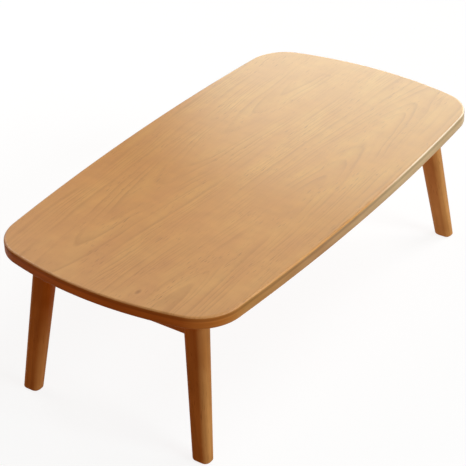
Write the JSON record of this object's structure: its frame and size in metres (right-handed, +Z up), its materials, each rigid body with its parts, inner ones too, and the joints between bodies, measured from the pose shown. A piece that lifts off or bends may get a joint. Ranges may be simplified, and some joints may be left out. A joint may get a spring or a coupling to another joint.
{
  "type": "folding low table",
  "caption": "Low wooden table with a bowed rounded-oblong top on splayed tapered legs; each end's leg frame folds inward under the top.",
  "frame": {"origin": "centre of the table on the floor, under the middle of its box", "axes": "+X along the table's length to the right end, +Y to the back long side, +Z up"},
  "size_m": [1, 0.55, 0.33],
  "materials": {
    "top_wood": "satin clear lacquer over honey-coloured wood, grain along the length",
    "leg_wood": "satin clear lacquer, grain along the leg",
    "crossbar_wood": "satin clear lacquer, grain along the bar",
    "peg_wood": "plain dowel, end grain showing",
    "felt": "pressed felt",
    "bracket_steel": "zinc-plated pressed steel",
    "cam_steel": "turned steel, greased",
    "spring_steel": "blued spring steel",
    "zinc": "zinc-plated"
  },
  "bodies": {
    "top": {"tabletop": "top_wood", "hinge_base_left_front": "bracket_steel", "hinge_base_left_back": "bracket_steel", "hinge_base_right_front": "bracket_steel", "hinge_base_right_back": "bracket_steel", "hinge_pin_left_front": "zinc", "hinge_pin_left_back": "zinc", "hinge_pin_right_front": "zinc", "hinge_pin_right_back": "zinc", "leaf_spring_left_front": "spring_steel", "leaf_spring_left_back": "spring_steel", "leaf_spring_right_front": "spring_steel", "leaf_spring_right_back": "spring_steel", "leaf_rivets": "zinc", "base_screws": "zinc"},
    "left_frame": {"leg_left_front": "leg_wood", "leg_left_back": "leg_wood", "foot_pad_left_front": "felt", "foot_pad_left_back": "felt", "crossbar_left": "crossbar_wood", "tenon_pegs_left": "peg_wood", "hinge_arm_left_front": "bracket_steel", "hinge_arm_left_back": "bracket_steel", "hinge_cam_left_front": "cam_steel", "hinge_cam_left_back": "cam_steel", "arm_screws_left": "zinc"},
    "right_frame": {"leg_right_front": "leg_wood", "leg_right_back": "leg_wood", "foot_pad_right_front": "felt", "foot_pad_right_back": "felt", "crossbar_right": "crossbar_wood", "tenon_pegs_right": "peg_wood", "hinge_arm_right_front": "bracket_steel", "hinge_arm_right_back": "bracket_steel", "hinge_cam_right_front": "cam_steel", "hinge_cam_right_back": "cam_steel", "arm_screws_right": "zinc"}
  },
  "joints": [
    {"name": "left_frame_fold", "type": "hinge", "parent": "top", "child": "left_frame", "pos_m": [-0.386, 0, 0.297], "axis": [0, -1, 0], "range_deg": [0, 98.6], "deforming": ["leaf_spring_left_front", "leaf_spring_left_back"]},
    {"name": "right_frame_fold", "type": "hinge", "parent": "top", "child": "right_frame", "pos_m": [0.386, 0, 0.297], "axis": [0, 1, 0], "range_deg": [0, 98.6], "deforming": ["leaf_spring_right_front", "leaf_spring_right_back"]}
  ]
}
